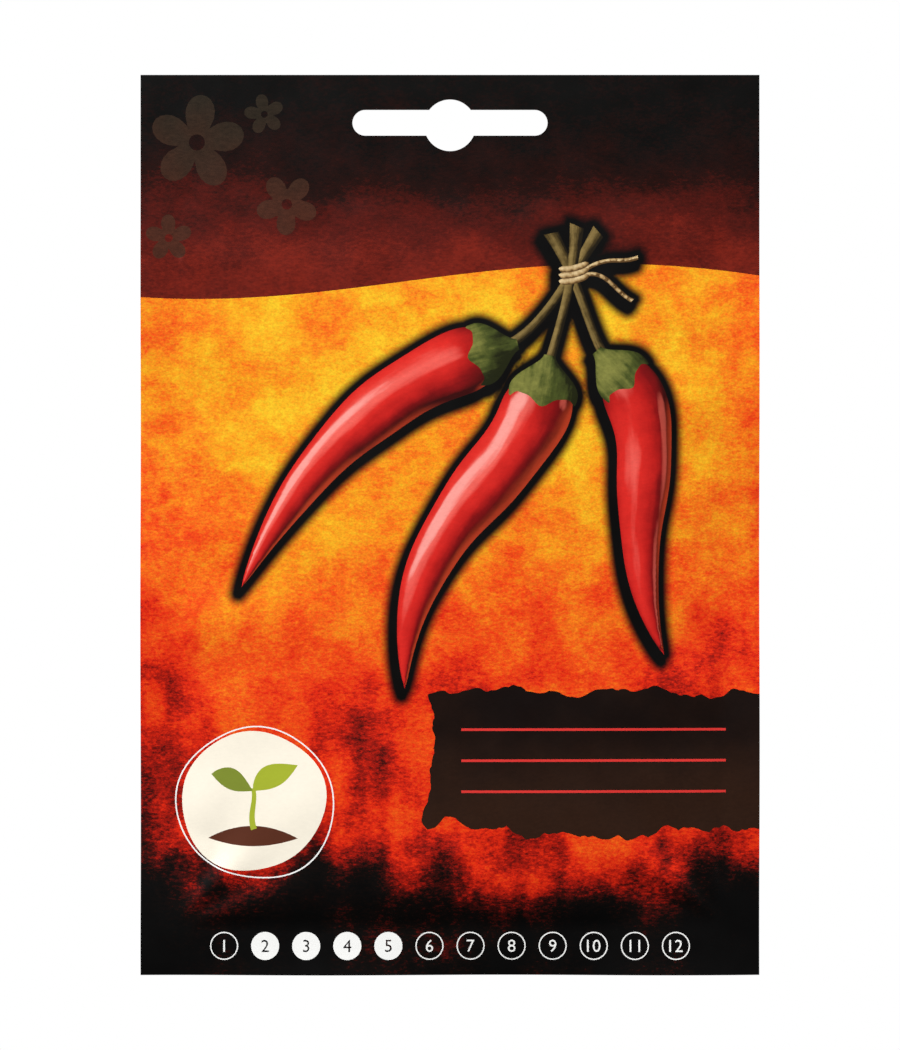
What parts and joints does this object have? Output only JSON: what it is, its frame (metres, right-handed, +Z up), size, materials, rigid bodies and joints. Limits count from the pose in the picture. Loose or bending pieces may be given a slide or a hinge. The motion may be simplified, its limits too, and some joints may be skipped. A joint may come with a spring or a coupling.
{
  "type": "seed packet",
  "caption": "Flat paper seed packet with heat-sealed edges, a hang slot punched through its header, a fiery printed front, a plain back and loose seeds sealed in its pocket.",
  "frame": {"origin": "where a peg bears: the top of the round part of the hang slot, on the packet's centre line, in the plane where the two panels are sealed together", "axes": "+Z up the packet as it hangs, +Y out of its back, so the printed front faces -Y, and +X to the right of someone reading the front"},
  "size_m": [0.11, 0.0038, 0.1601],
  "materials": {
    "printed_front": "satin",
    "plain_back": "satin",
    "seed": "matte"
  },
  "bodies": {
    "root": {"front_web": "printed_front", "back_web": "plain_back", "seed_01": "seed", "seed_02": "seed", "seed_03": "seed", "seed_04": "seed", "seed_05": "seed", "seed_06": "seed", "seed_07": "seed", "seed_08": "seed", "seed_09": "seed", "seed_10": "seed", "seed_11": "seed", "seed_12": "seed", "seed_13": "seed", "seed_14": "seed", "seed_15": "seed", "seed_16": "seed", "seed_17": "seed", "seed_18": "seed", "seed_19": "seed", "seed_20": "seed", "seed_21": "seed", "seed_22": "seed", "seed_23": "seed", "seed_24": "seed"}
  },
  "joints": []
}
